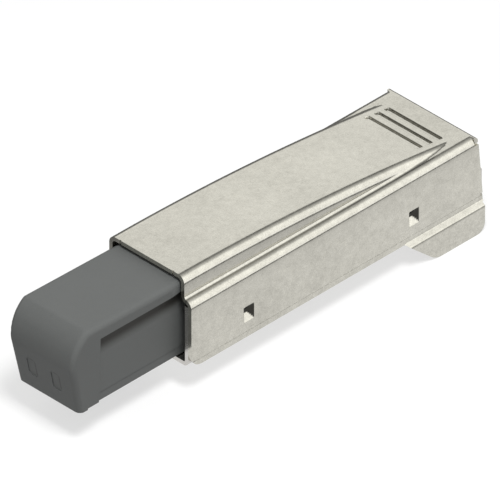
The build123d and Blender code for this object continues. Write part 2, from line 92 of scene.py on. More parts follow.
@dataclass
class Wiring:
    """Adds nodes to a tree and links them, so that a material reads as a short list.

    Args:
        tree: The node tree that is being filled.
    """

    tree: bpy.types.NodeTree

    def add(self, kind: str, settings: dict | None = None, **values: object) -> bpy.types.Node:
        """Adds a node.

        Args:
            kind: The node's type, such as ShaderNodeMath.
            settings: Properties of the node itself.
            values: Inputs by name, with _ for a space; a socket is linked, the rest is set.

        Returns:
            The new node.
        """
        node = self.tree.nodes.new(kind)
        for name, value in (settings or {}).items():
            setattr(node, name, value)
        for name, value in values.items():
            self.feed(node.inputs[name.replace("_", " ")], value)
        return node

    def feed(self, socket: bpy.types.NodeSocket, value: object) -> None:
        """Links a socket to an input, or sets the input's own value.

        Args:
            socket: The input.
            value: A socket to link, or a plain value.
        """
        if isinstance(value, bpy.types.NodeSocket):
            self.tree.links.new(value, socket)
        else:
            socket.default_value = value

    def math(self, operation: str, *values: object) -> bpy.types.NodeSocket:
        """Adds a Math node.

        Args:
            operation: What it works out, such as MULTIPLY.
            values: Its inputs, in order.

        Returns:
            Its result.
        """
        node = self.add("ShaderNodeMath", {"operation": operation})
        for place, value in enumerate(values):
            self.feed(node.inputs[place], value)
        return node.outputs[0]

    def mix(self, factor: object, first: object, second: object) -> bpy.types.NodeSocket:
        """Adds a Mix node for plain values and returns its result."""
        node = self.add("ShaderNodeMix", {"data_type": "FLOAT"}, Factor=factor, A=first, B=second)
        return node.outputs[0]

    def mix_colours(self, factor: object, *colours: object) -> bpy.types.NodeSocket:
        """Adds a Mix node for colours.

        Args:
            factor: The second colour's share, 0 to 1.
            colours: The two colours.

        Returns:
            The mixed colour.
        """
        node = self.add("ShaderNodeMix", {"data_type": "RGBA"}, Factor=factor)
        for place, colour in zip(MIX_COLOUR_INPUTS, colours):
            self.feed(node.inputs[place], colour)
        return node.outputs[MIX_COLOUR_RESULT]

    def ramp(self, factor: object, stops: tuple[tuple[float, float], ...]) -> bpy.types.NodeSocket:
        """Adds a grey colour ramp.

        Args:
            factor: Where on the ramp, 0 to 1.
            stops: Pairs of a place and a value.

        Returns:
            The ramp's colour.
        """
        node = self.add("ShaderNodeValToRGB", Fac=factor)
        elements = node.color_ramp.elements
        while len(elements) < len(stops):
            elements.new(1.0)
        for element, (place, value) in zip(elements, stops):
            element.position = place
            element.color = (value, value, value, 1.0)
        return node.outputs["Color"]


def shader_group(name: str, inputs: dict[str, float], outputs: list[str]) -> bpy.types.NodeTree:
    """Starts a shader group with float inputs and outputs.

    Args:
        name: The group's name.
        inputs: Each input's name and its usual value.
        outputs: The outputs' names.

    Returns:
        The group's tree, with its input and output nodes in it.
    """
    tree = bpy.data.node_groups.new(name, "ShaderNodeTree")
    for label, value in inputs.items():
        socket = tree.interface.new_socket(label, in_out="INPUT", socket_type="NodeSocketFloat")
        socket.default_value = value
    for label in outputs:
        tree.interface.new_socket(label, in_out="OUTPUT", socket_type="NodeSocketFloat")
    tree.nodes.new("NodeGroupInput")
    tree.nodes.new("NodeGroupOutput")
    return tree


def grain_group() -> bpy.types.NodeTree:
    """Builds the fine grain that plating and moulded skins share.

    Returns:
        A group that gives Tone, a speckle from 0 to 1, and Relief, a softer surface height.
    """
    tree = shader_group("fine_grain", {"Scale": 3000.0, "Clump": 0.35}, ["Tone", "Relief"])
    clump_scale = 0.22
    wiring = Wiring(tree)
    sizes = tree.nodes["Group Input"].outputs
    out = tree.nodes["Group Output"].inputs
    place = wiring.add("ShaderNodeTexCoord").outputs["Object"]
    fine = wiring.add("ShaderNodeTexNoise", Vector=place, Scale=sizes["Scale"], Detail=3.0, Roughness=0.65)
    wide_scale = wiring.math("MULTIPLY", sizes["Scale"], clump_scale)
    wide = wiring.add("ShaderNodeTexNoise", Vector=place, Scale=wide_scale, Detail=2.0, Roughness=0.5)
    mixed = wiring.mix(sizes["Clump"], fine.outputs["Fac"], wide.outputs["Fac"])
    spread = wiring.add("ShaderNodeMapRange", Value=mixed, From_Min=0.34, From_Max=0.66)
    wiring.feed(out["Tone"], spread.outputs[0])
    wiring.feed(out["Relief"], mixed)
    return tree


def handling_group() -> bpy.types.NodeTree:
    """Builds the broad, faint drift that handling and plating leave on a surface.

    Returns:
        A group that gives Drift, from 0 to 1.
    """
    tree = shader_group("handling_marks", {"Scale": 90.0}, ["Drift"])
    wiring = Wiring(tree)
    place = wiring.add("ShaderNodeTexCoord").outputs["Object"]
    scale = tree.nodes["Group Input"].outputs["Scale"]
    cloud = wiring.add("ShaderNodeTexNoise", Vector=place, Scale=scale, Detail=4.0, Roughness=0.55)
    spread = wiring.add("ShaderNodeMapRange", Value=cloud.outputs["Fac"], From_Min=0.3, From_Max=0.7)
    wiring.feed(tree.nodes["Group Output"].inputs["Drift"], spread.outputs[0])
    return tree


@dataclass(frozen=True)
class Finish:
    """A surface finish: a base colour with grain and drift, roughness that varies, and a relief.

    Args:
        name: The material's name.
        light: The colour where the grain is light.
        dark: The colour where the grain is dark.
        metallic: 1 for metal, 0 for plastic and rubber.
        roughness: The lowest roughness.
        roughness_spread: How much the grain and the drift add to it.
        grain_scale: Grains per metre.
        clump: How much the grain clumps, 0 to 1.
        drift: How much of the tone is the broad drift, 0 to 1.
        relief: The grain's height in metres.
        painted_shade: How much the mesh's own painted shade attribute darkens the surface.
    """

    name: str
    light: tuple[float, float, float]
    dark: tuple[float, float, float]
    metallic: float = 0.0
    roughness: float = 0.4
    roughness_spread: float = 0.1
    grain_scale: float = 3000.0
    clump: float = 0.35
    drift: float = 0.3
    relief: float = 0.00001
    painted_shade: float = 0.0

    def material(self, grain: bpy.types.NodeTree, handling: bpy.types.NodeTree) -> bpy.types.Material:
        """Builds the material.

        Args:
            grain: The shared fine grain group.
            handling: The shared handling group.

        Returns:
            The finished material.
        """
        material = bpy.data.materials.new(self.name)
        material.use_nodes = True
        wiring = Wiring(material.node_tree)
        shader = material.node_tree.nodes["Principled BSDF"]
        grains = {"Scale": self.grain_scale, "Clump": self.clump}
        speckle = wiring.add("ShaderNodeGroup", {"node_tree": grain}, **grains)
        drift = wiring.add("ShaderNodeGroup", {"node_tree": handling}).outputs["Drift"]
        tone = wiring.mix(self.drift, speckle.outputs["Tone"], drift)
        base = wiring.mix_colours(tone, (*self.dark, 1.0), (*self.light, 1.0))
        # Painted shade: the mesh's attribute darkens the base colour towards near-black.
        if self.painted_shade:
            mask = wiring.add("ShaderNodeAttribute", {"attribute_name": PAINTED_SHADE})
            strength = wiring.math("MULTIPLY", mask.outputs["Fac"], self.painted_shade)
            base = wiring.mix_colours(strength, base, (*PAINTED_SHADE_COLOUR, 1.0))
        wiring.feed(shader.inputs["Base Color"], base)
        shader.inputs["Metallic"].default_value = self.metallic
        roughest = self.roughness + self.roughness_spread
        rough = wiring.add("ShaderNodeMapRange", Value=tone, To_Min=self.roughness, To_Max=roughest)
        wiring.feed(shader.inputs["Roughness"], rough.outputs[0])
        bump = wiring.add("ShaderNodeBump", Height=speckle.outputs["Relief"], Distance=self.relief)
        wiring.feed(shader.inputs["Normal"], bump.outputs["Normal"])
        return material


def arc(
    centre: tuple[float, float], radius: float, start: float, end: float, count: int, hollow: bool = False
) -> list[tuple]:
    """Walks along an arc.

    Args:
        centre: The arc's centre as (y, z).
        radius: Its radius.
        start: The first angle, in degrees from +Y.
        end: The last angle.
        count: How many steps the arc takes.
        hollow: Whether the metal lies outside the arc.

    Returns:
        A list of (y, z, normal y, normal z).
    """
    facing = -1.0 if hollow else 1.0
    points = []
    for step in range(count + 1):
        angle = radians(start + (end - start) * step / count)
        y = centre[0] + radius * cos(angle)
        z = centre[1] + radius * sin(angle)
        points.append((y, z, facing * cos(angle), facing * sin(angle)))
    return points


def respaced(path: list[tuple], count: int) -> list[tuple]:
    """Spreads points evenly along a path.

    Args:
        path: Points whose first two values are a place.
        count: How many steps the result has.

    Returns:
        count + 1 points, with every value interpolated.
    """
    lengths = [0.0]
    for before, after in zip(path, path[1:]):
        lengths.append(lengths[-1] + hypot(after[0] - before[0], after[1] - before[1]))
    result = []
    for step in range(count + 1):
        want = lengths[-1] * step / count
        index = min(bisect_right(lengths, want), len(path) - 1)
        span = lengths[index] - lengths[index - 1]
        share = (want - lengths[index - 1]) / span if span > 0 else 0.0
        result.append(tuple(a + (b - a) * share for a, b in zip(path[index - 1], path[index])))
    return result


def ramp(value: float, low: float, high: float) -> float:
    """Rises in a straight line from 0 at low to 1 at high."""
    return min(max((value - low) / (high - low), 0.0), 1.0)


def smooth(value: float, low: float, high: float) -> float:
    """Rises smoothly from 0 at low to 1 at high."""
    share = ramp(value, low, high)
    return share * share * (3.0 - 2.0 * share)


def around(middle: float, offsets: list[float] | tuple[float, ...]) -> list[float]:
    """Gives places at the offsets on both sides of a middle."""
    return [middle + side * offset for offset in offsets for side in (-1, 1)]


def in_scene(name: str, data: bpy.types.ID) -> bpy.types.Object:
    """Makes an object and links it into the scene.

    Args:
        name: The object's name.
        data: Its mesh, lamp or camera.

    Returns:
        The object.
    """
    thing = bpy.data.objects.new(name, data)
    bpy.context.scene.collection.objects.link(thing)
    return thing


def shade_smooth(mesh: bpy.types.Mesh, sharp_angle: float = 180.0) -> None:
    """Shades a mesh smooth.

    Args:
        mesh: The mesh.
        sharp_angle: The turn in degrees past which an edge stays sharp.
    """
    mesh.polygons.foreach_set("use_smooth", [True] * len(mesh.polygons))
    if sharp_angle < 180.0:
        mesh.set_sharp_from_angle(angle=radians(sharp_angle))


def with_modifiers_applied(piece: bpy.types.Object) -> bpy.types.Object:
    """Turns an object's modifiers into plain mesh.

    Args:
        piece: The object with modifiers.

    Returns:
        The same object, with a plain mesh and no modifier.
    """
    evaluated = piece.evaluated_get(bpy.context.evaluated_depsgraph_get())
    mesh = bpy.data.meshes.new_from_object(evaluated)
    piece.modifiers.clear()
    piece.data = mesh
    return piece


@dataclass
class SheetGrid:
    """A sheet with an outer and an inner face, drawn as matching points and cells. Sizes in mm."""

    outer: list[tuple] = field(default_factory=list)
    inner: list[tuple] = field(default_factory=list)
    painted_shade: list[float] = field(default_factory=list)
    cells: list[tuple] = field(default_factory=list)
    sharp_angle: float = 38.0

    def add_point(self, outer: tuple, inner: tuple, painted_shade: float) -> int:
        """Adds one point on both faces.

        Args:
            outer: Its place on the outer face.
            inner: Its place on the inner face.
            painted_shade: How much painted shade darkens it, 0 to 1.

        Returns:
            The point's number.
        """
        self.outer.append(outer)
        self.inner.append(inner)
        self.painted_shade.append(painted_shade)
        return len(self.outer) - 1

    def add_cell(self, *corners: int) -> None:
        """Adds one four-sided cell."""
        self.cells.append(corners)

    def finished(self, name: str, edge_round: float) -> bpy.types.Object:
        """Closes the sheet's edges and rounds them.

        Args:
            name: The object's name.
            edge_round: The radius that the cut edges get.

        Returns:
            One closed mesh object.
        """
        used = sorted({corner for cell in self.cells for corner in cell})
        number = {corner: place for place, corner in enumerate(used)}
        count = len(used)
        outer = [tuple(number[corner] for corner in cell) for cell in self.cells]
        inner = [tuple(corner + count for corner in reversed(cell)) for cell in outer]
        sides = {(cell[n], cell[(n + 1) % 4]) for cell in outer for n in range(4)}
        open_sides = [(a, b) for a, b in sides if (b, a) not in sides]
        rim = [(b, a, a + count, b + count) for a, b in sorted(open_sides)]
        places = [self.outer[corner] for corner in used] + [self.inner[corner] for corner in used]
        mesh = bpy.data.meshes.new(name)
        mesh.from_pydata([Vector(place) * MM for place in places], [], outer + inner + rim)
        rim_sides = {tuple(sorted(side)) for side in open_sides}
        rim_sides |= {(a + count, b + count) for a, b in rim_sides}
        weights = mesh.attributes.new("bevel_weight_edge", "FLOAT", "EDGE")
        for edge in mesh.edges:
            weights.data[edge.index].value = float(tuple(sorted(edge.vertices)) in rim_sides)
        painted_shade = mesh.attributes.new(PAINTED_SHADE, "FLOAT", "POINT")
        painted_shade.data.foreach_set("value", [self.painted_shade[corner] for corner in used] * 2)
        shade_smooth(mesh, self.sharp_angle)
        piece = in_scene(name, mesh)
        rounding = piece.modifiers.new("cut_edges", "BEVEL")
        rounding.limit_method = "WEIGHT"
        rounding.width = edge_round * MM
        rounding.segments = 2
        return with_modifiers_applied(piece)


@dataclass
class PressedCover:
    """The nickel-plated cover, drawn as one bent and embossed sheet. Sizes in mm, x from the mouth.

    Fields with shade in their names say where painted shade darkens the plating, standing in for the
    shade and dark reflections in its hollows, creases and bends, and those that end in rows,
    columns or steps place the mesh's lines.
    """

    sheet: float = 0.7
    half: float = 9.45
    shoulder_height: float = 12.1
    shoulder_bend: float = 1.28
    crown_half: float = 7.97
    crown_corner: float = 1.34
    crown_fade: float = 57.0
    flare_radius: float = 0.5
    front_round: float = 2.3
    front_band: float = 0.3
    front_low_band: float = 0.95
    front_least_band: float = 0.05
    front_settled: float = 1.1
    rear_lean: float = 1.2
    lean_length: float = 5.0
    lip_curl: float = 0.75
    lip_drop: float = 1.05
    lip_start: float = 0.55
    lip_side: float = 9.2
    lip_blend: float = 0.3
    crease_height: float = 1.12
    crease_depth: float = 0.1
    crease_score: float = 0.16
    crease_width: float = 0.09
    crease_start: float = 0.5
    crease_full: float = 0.9
    groove_count: int = 3
    groove_pitch: float = 2.15
    groove_from_rear: float = 9.85
    groove_half: float = 5.8
    groove_width: float = 1.1
    groove_depth: float = 0.27
    groove_corner: float = 0.3
    groove_wall: float = 0.13
    dimple_front: float = 12.1
    dimple_from_rear: float = 14.9
    dimple_height: float = 4.28
    dimple_length: float = 2.2
    dimple_rise: float = 2.8
    dimple_depth: float = 0.85
    dimple_floor: float = 0.3
    ear_root: float = 0.3
    ear_length: float = 16.8
    ear_from_rear: float = 0.3
    ear_front_angle: float = 41.0
    ear_front_round: float = 3.6
    ear_rear_round: float = 1.7
    joggle_top: float = 0.17
    joggle_rise: float = 0.64
    joggle_blend: float = 0.3
    edge_notch: float = 0.35
    lip_nick: float = 0.13
    lip_half: float = 5.4
    rear_notch_height: float = 5.8
    rear_notch_size: float = 0.5
    foot_notch_length: float = 0.5
    foot_notch_low: float = 1.17
    foot_notch_high: float = 1.5
    relief_length: float = 0.95
    relief_angle: float = 38.0
    relief_play: float = 0.001
    upright: float = 0.99
    # Painted shade: how dark the grooves' walls, the crown's foot, the crease, the dimples and the ears'
    # bend are painted
    groove_painted_shade: float = 0.55
    valley_painted_shade: float = 0.6
    valley_width: float = 0.2
    crease_painted_shade: float = 0.7
    crease_painted_shade_half: float = 0.054
    dimple_painted_shade: float = 0.95
    dimple_end_painted_shade: float = 0.6
    dimple_end: float = 0.85
    dimple_unshaded_front: float = -0.45
    dimple_unshaded_foot: float = 0.25
    joggle_painted_shade: float = 0.5
    edge_round: float = 0.06
    arc_steps: int = 16
    corner_steps: int = 12
    bend_steps: int = 64
    plain_rows: tuple[float, ...] = (0.0, 0.1, 0.5, 0.8, 1.3, 2.0, 2.5, 6.6, 7.4, 8.4, 9.4, 10.3)
    joggle_rows: tuple[float, ...] = (-0.06, 0.04)
    ear_rows: tuple[float, ...] = (0.08, 0.2, 0.33, 0.9, 1.6, 2.4, 3.1)
    ear_foot_rows: tuple[float, ...] = (1.5, 1.2, 0.9, 0.65, 0.45, 0.28, 0.15, 0.07, 0.02, 0.0)
    dimple_rows: tuple[float, ...] = (1.46, 1.4, 1.32, 1.1, 0.85, 0.6, 0.4, 0.3, 0.15, 0.0)
    dimple_steps: tuple[float, ...] = (1.16, 1.1, 1.03, 0.85, 0.65, 0.45, 0.3, 0.15, 0.0)
    groove_steps: tuple[float, ...] = (-0.06, 0.0, 0.04, 0.09, 0.13, 0.2)
    groove_floor_step: float = 0.32
    ear_front_steps: tuple[float, ...] = (-0.5, -0.2, 0.0, 0.3)
    ear_rear_steps: tuple[float, ...] = (-0.25, 0.0)
    plain_columns: tuple[float, ...] = (6.45, 6.25, 6.05, 5.1, 4.6, 4.0, 3.2, 2.4, 1.6, 0.8)
    mouth_steps: tuple[float, ...] = (0.0, 0.12, 0.24, 0.5, 0.7, 0.95, 1.3, 1.7, 3.0)
    rear_steps: tuple[float, ...] = (0.0, 0.06, 0.12, 0.18, 0.24, 0.42, 0.65, 0.75, 0.85, 1.2)
    even_start: float = 4.0
    even_end: float = 2.0
    even_step: float = 1.55
    least_step: float = 0.035

    def __post_init__(self) -> None:
        """Takes the overall sizes from the frame, and works the rest out."""
        low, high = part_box("cover")
        self.mouth = low.x / MM
        self.length = (high.x - low.x) / MM
        self.crown_height = high.z / MM
        self.ear_drop = -low.z / MM
        self.side_top = self.shoulder_height - self.shoulder_bend
        self.bend_y = self.half - self.shoulder_bend
        self.flare_y = self.crown_half + self.flare_radius
        reach = self.shoulder_bend + self.flare_radius
        self.flare_z = self.side_top + sqrt(reach ** 2 - (self.flare_y - self.bend_y) ** 2)
        rise = self.crown_height - self.shoulder_height
        self.crown_radius = (self.crown_fade ** 2 + rise ** 2) / (2 * rise)
        self.ear_rear = self.length - self.ear_from_rear
        self.ear_front = self.ear_rear - self.ear_length
        lean = asin((self.flare_y - self.bend_y) / reach)
        out, up = self.shoulder_bend * sin(lean), self.shoulder_bend * cos(lean)
        self.valley = (self.bend_y + out, self.side_top + up)
        first = self.length - self.groove_from_rear
        self.grooves = [first + n * self.groove_pitch for n in range(self.groove_count)]
        self.dimples = [self.dimple_front, self.length - self.dimple_from_rear]

    def top_height(self, x: float) -> float:
        """Works out the crown's height, down to the shoulder.

        Args:
            x: Distance from the mouth.

        Returns:
            The height.
        """
        if x >= self.crown_fade:
            return self.shoulder_height
        return self.crown_height - self.crown_radius + sqrt(self.crown_radius ** 2 - x ** 2)

    def over_shoulder(self, x: float) -> list[tuple]:
        """The section from the side's top, over the shoulder and up the crown's corner.

        Args:
            x: The distance from the mouth.

        Returns:
            Points as (y, z, normal y, normal z).
        """
        bend = (self.bend_y, self.side_top)
        corner = (self.crown_half - self.crown_corner, self.top_height(x) - self.crown_corner)
        if x >= self.crown_fade:
            path = arc(bend, self.shoulder_bend, 0, 90, self.arc_steps)
            return path + [(corner[0], self.shoulder_height, 0.0, 1.0)]
        lean = 0.0
        flare = (self.flare_y, self.flare_z)
        if corner[1] < self.flare_z:
            flare = self.sunk_flare(bend, corner)
            lean = degrees(atan2(flare[1] - corner[1], flare[0] - corner[0]))
        turn = min(degrees(atan2(flare[1] - bend[1], flare[0] - bend[0])), 90.0)
        path = arc(bend, self.shoulder_bend, 0, turn, self.arc_steps)
        path += arc(flare, self.flare_radius, 180 + turn, 180 + lean, self.arc_steps, hollow=True)
        return path + arc(corner, self.crown_corner, lean, 90, self.corner_steps)

    def sunk_flare(self, bend: tuple[float, float], corner: tuple[float, float]) -> tuple[float, float]:
        """The centre of the hollow curve where the crown is too low to have a wall.

        Args:
            bend: The centre of the shoulder's bend.
            corner: The centre of the crown's corner.

        Returns:
            The centre as (y, z).
        """
        to_bend = self.shoulder_bend + self.flare_radius
        to_corner = self.crown_corner + self.flare_radius
        across = hypot(corner[0] - bend[0], corner[1] - bend[1])
        share = (to_bend ** 2 + across ** 2 - to_corner ** 2) / (2 * to_bend * across)
        turn = atan2(corner[1] - bend[1], corner[0] - bend[0]) - radians(90) + asin(min(share, 1.0))
        y = bend[0] + to_bend * cos(turn)
        if y >= self.bend_y:
            return y, bend[1] + to_bend * sin(turn)
        z = self.side_top + to_bend
        return corner[0] + sqrt(max(to_corner ** 2 - (z - corner[1]) ** 2, 0.0)), z

    def wall_rows(self) -> list[float]:
        """Places the section's points on the side.

        Returns:
            Heights, from the lower edge to the shoulder's bend.
        """
        rows = [*self.plain_rows, self.foot_notch_high, self.rear_notch_height + self.rear_notch_size / 2]
        rows += around(self.joggle_top, (self.joggle_rows[0],))
        rows += around(self.crease_height, (0.0, self.crease_width))
        rows += around(self.dimple_height, self.dimple_rows)
        return sorted(set(round(row, 4) for row in rows))

    def top_columns(self) -> list[float]:
        """Distances from the middle on the crown's top, outermost first."""
        ends = [self.groove_half - step for step in (*self.groove_steps, self.groove_corner)]
        return sorted([*self.plain_columns, *ends, self.lip_half], reverse=True)

    def stations(self) -> list[float]:
        """Places the sections, closer together where the shape turns.

        Returns:
            Distances from the mouth.
        """
        places = [*self.mouth_steps, self.edge_notch, self.front_round]
        evenly = int((self.length - self.even_start - self.even_end) / self.even_step)
        places += [self.even_start + self.even_step * n for n in range(evenly)]
        half = self.groove_width / 2
        for groove in self.grooves:
            for step in (*self.groove_steps, self.groove_floor_step, half):
                places += [groove - half + step, groove + half - step]
        for dimple in self.dimples:
            places += around(dimple, self.dimple_steps)
        front, rear = self.ear_front_at(0.0), self.ear_rear
        places += [front + step for step in self.ear_front_steps]
        places += [rear + step for step in self.ear_rear_steps]
        named = (self.edge_notch, self.foot_notch_length, self.lip_start, self.relief_length)
        places += [self.length - step for step in (*self.rear_steps, *named)]
        kept: list[float] = []
        for place in sorted(places):
            if kept and place - kept[-1] < self.least_step:
                if place in (front, rear):
                    kept[-1] = place
                continue
            kept.append(place)
        return kept

    def ear_front_at(self, z: float) -> float:
        """Works out the ear's front edge, with its rounded corner.

        Args:
            z: Height.

        Returns:
            The edge's distance from the mouth.
        """
        slope = tan(radians(self.ear_front_angle))
        foot = self.ear_front + (self.ear_root + self.ear_drop) / slope
        tangent = self.ear_front_round * tan(radians(self.ear_front_angle / 2))
        centre = foot + tangent
        depth = self.ear_drop - self.ear_front_round
        if -z <= self.ear_drop - tangent * sin(radians(self.ear_front_angle)):
            return self.ear_front + (self.ear_root - z) / slope
        return centre - sqrt(max(self.ear_front_round ** 2 - (-z - depth) ** 2, 0.0))

    def ear_rear_at(self, z: float) -> float:
        """Works out the ear's rear edge, with its rounded corner.

        Args:
            z: Height.

        Returns:
            The edge's distance from the mouth.
        """
        depth = self.ear_drop - self.ear_rear_round
        if -z <= depth:
            return self.ear_rear
        across = sqrt(max(self.ear_rear_round ** 2 - (-z - depth) ** 2, 0.0))
        return self.ear_rear - self.ear_rear_round + across

    def lower_edge(self, x: float) -> float:
        """Works out the side's lower edge, which rounds up at the mouth.

        Args:
            x: Distance from the mouth.

        Returns:
            The edge's height.
        """
        if x >= self.front_round:
            return 0.0
        return self.front_round - sqrt(self.front_round ** 2 - (self.front_round - x) ** 2)

    def lifted(self, x: float, z: float) -> float:
        """Moves a height on the side up out of the rounded corner at the mouth.

        Args:
            x: Distance from the mouth.
            z: Height in the plain section.

        Returns:
            The new height.
        """
        edge = self.lower_edge(x)
        bands = (self.front_round + self.front_band, max(edge + self.front_least_band, self.front_low_band))
        wide, narrow = [edge + z * (band - edge) / band if z < band else z for band in bands]
        return wide + (narrow - wide) * smooth(x, self.edge_notch, self.front_settled)

    def groove_sink(self, x: float, y: float) -> float:
        """Works out how deep the grooves press the top.

        Args:
            x: Distance from the mouth.
            y: Distance from the middle.

        Returns:
            A share of the full depth, 0 to 1.
        """
        sink = 0.0
        for groove in self.grooves:
            across = abs(x - groove) - self.groove_width / 2 + self.groove_corner
            along = abs(y) - self.groove_half + self.groove_corner
            corner = hypot(max(across, 0.0), max(along, 0.0))
            outside = corner + min(max(across, along), 0.0) - self.groove_corner
            sink = max(sink, ramp(-outside, 0.0, self.groove_wall))
        return sink

    def dimple_sink(self, x: float, z: float) -> float:
        """Works out how deep the dimples press the side.

        Args:
            x: Distance from the mouth.
            z: Height.

        Returns:
            A share of the full depth, 0 to 1.
        """
        sink = 0.0
        up = self.dimple_rise / 2 - abs(z - self.dimple_height)
        for dimple in self.dimples:
            along = self.dimple_length / 2 - abs(x - dimple)
            across_share = ramp(along, 0.0, self.dimple_length / 2 - self.dimple_floor)
            up_share = ramp(up, 0.0, self.dimple_rise / 2 - self.dimple_floor)
            sink = max(sink, min(across_share, up_share))
        return sink

    def painted_shade_at(self, x: float, y: float, z: float) -> float:
        """Works out the painted shade on the plating, where shade and dark reflections fall.

        Args:
            x: Distance from the mouth.
            y: Distance from the middle.
            z: Height.

        Returns:
            0 for none, up to 1 in grooves and dimples, on the crease and at the crown's foot.
        """
        if z > self.side_top:
            if x > self.grooves[0] + self.groove_width / 4:
                return self.groove_painted_shade * float(0.0 < self.groove_sink(x, y) < 1.0)
            valley = hypot(y - self.valley[0], z - self.valley[1])
            return self.valley_painted_shade * (1.0 - ramp(valley, 0.0, self.valley_width))
        if abs(z - self.crease_height) < self.crease_painted_shade_half:
            return self.crease_painted_shade
        rise = (z - self.dimple_height) / (self.dimple_rise / 2)
        for dimple in self.dimples:
            behind = (x - dimple) / (self.dimple_length / 2)
            shaded = self.dimple_unshaded_front < behind < 1.0 and rise > -max(behind, self.dimple_unshaded_foot)
            if shaded and self.dimple_sink(x, z) > 0.0:
                return self.dimple_painted_shade if abs(rise) < self.dimple_end else self.dimple_end_painted_shade
        return 0.0

    def placed(
        self, x: float, y: float, z: float, ny: float, nz: float, inner: bool, on_top: bool
    ) -> tuple[float, float, float]:
        """Puts a point of the plain section where pressing and trimming leave it.

        Args:
            x: Distance from the mouth.
            y: Distance from the middle, always positive.
            z: Height.
            ny: The outward normal's y.
            nz: The outward normal's z.
            inner: Whether the point is on the sheet's inner face.
            on_top: Whether the point is on the top, not on the side.

        Returns:
            The point as (x, y, z).
        """
        plain_z = z
        if inner:
            y -= self.sheet * ny
            z -= self.sheet * nz
        if on_top:
            z -= self.groove_depth * self.groove_sink(x, y)
        elif ny > self.upright:
            y -= self.dimple_depth * self.dimple_sink(x, plain_z)
            if not inner:
                y -= self.crease_at(x, plain_z)
            y += self.joggle_at(x, plain_z, inner)
        if self.on_lip(x, plain_z, nz):
            return self.on_rear_lip(x, y, plain_z, ny, inner)
        return self.leaned(x, plain_z), y, z

    def leaned(self, x: float, z: float) -> float:
        """Where the leaning rear end leaves a point."""
        sheared = smooth(x, self.length - self.lean_length, self.length)
        return x - self.rear_lean * z / self.shoulder_height * sheared

    def on_lip(self, x: float, z: float, nz: float) -> bool:
        """Whether a point belongs to the tab that curls down at the rear."""
        steep = nz < cos(radians(self.relief_angle)) - self.relief_play
        return x > self.length - self.relief_length and z > self.side_top and not steep

    def on_rear_lip(self, x: float, y: float, plain_z: float, ny: float, inner: bool) -> tuple:
        """Flattens the top's rear end into a tab as wide as the sides, and curls it down.

        Args:
            x: Distance from the mouth, before the rear end leans.
            y: Distance from the middle.
            plain_z: Height in the plain section.
            ny: The outward normal's y.
            inner: Whether the point is on the sheet's inner face.

        Returns:
            The point as (x, y, z).
        """
        along = x - (self.length - self.relief_length)
        flat = smooth(along, 0.0, self.lip_blend)
        edge = self.bend_y + self.shoulder_bend * sin(radians(self.relief_angle))
        z = plain_z + (self.shoulder_height - plain_z) * flat
        if inner:
            y += self.sheet * ny * flat
        y += (self.lip_side - edge) * ramp(y, self.bend_y, edge) * flat
        x = self.leaned(x, z)
        depth = self.sheet if inner else 0.0
        begin = self.length - self.lip_start - self.rear_lean
        if x <= begin:
            return x, y, z - depth * sqrt(1.0 - (ny * (1.0 - flat)) ** 2)
        quarter = self.lip_curl * radians(90)
        run = (x - begin) / self.lip_start * (quarter + self.lip_drop - self.lip_curl)
        turn = min(run, quarter) / self.lip_curl
        bend = self.lip_curl - depth
        x = begin + bend * sin(turn)
        z -= self.lip_curl - bend * cos(turn) + max(run - quarter, 0.0)
        return x, y, z

    def crease_at(self, x: float, z: float) -> float:
        """Works out how far the scored crease sets the side's lower band in.

        Args:
            x: Distance from the mouth.
            z: Height.

        Returns:
            The distance inwards.
        """
        here = smooth(x, self.crease_start, self.crease_full)
        if z > self.crease_height + self.crease_width / 2:
            return 0.0
        if z > self.crease_height - self.crease_width / 2:
            return self.crease_score * here
        return self.crease_depth * here

    def joggle_at(self, x: float, z: float, inner: bool) -> float:
        """Works out how far the ear steps outwards.

        Args:
            x: Distance from the mouth.
            z: Height.
            inner: Whether the point is on the sheet's inner face.

        Returns:
            The distance outwards.
        """
        front = self.ear_front_at(min(z, self.ear_root))
        near = 1.0 if z < 0.0 else smooth(x, front - self.joggle_blend, front + self.joggle_blend)
        reach = self.sheet if inner else self.sheet + self.crease_depth
        return near * reach * ramp(self.joggle_top - z, 0.0, self.joggle_rise)

    def section(self, x: float) -> list[tuple]:
        """Half of the section at x, from the side's lower edge to the middle.

        Args:
            x: The distance from the mouth.

        Returns:
            Points as (y, z, normal y, normal z, whether on the top).
        """
        points = [(self.half, self.lifted(x, row), 1.0, 0.0, False) for row in self.wall_rows()]
        points += [(*point, False) for point in respaced(self.over_shoulder(x), self.bend_steps)]
        top = self.top_height(x)
        return points + [(column, top, 0.0, 1.0, True) for column in (*self.top_columns(), 0.0)]

    def removed(self, x: float, point: tuple, after: tuple) -> bool:
        """Whether the cell between two neighbouring points of a section is cut away.

        Args:
            x: The cell's middle, from the mouth.
            point: The cell's first point in the section.
            after: Its second point.

        Returns:
            True for a cell in one of the notches or reliefs.
        """
        y = (point[0] + after[0]) / 2
        z = (point[1] + after[1]) / 2
        on_top = point[4] and after[4]
        from_rear = self.length - x
        if x < self.lip_nick and on_top and self.lip_half < y < self.lip_half + self.edge_notch:
            return True
        if from_rear < self.edge_notch and abs(z - self.rear_notch_height) < self.rear_notch_size / 2:
            return True
        if from_rear < self.foot_notch_length and self.foot_notch_low < z < self.foot_notch_high:
            return True
        steep = (point[3] + after[3]) / 2 < cos(radians(self.relief_angle))
        return from_rear < self.relief_length and z > self.side_top and steep

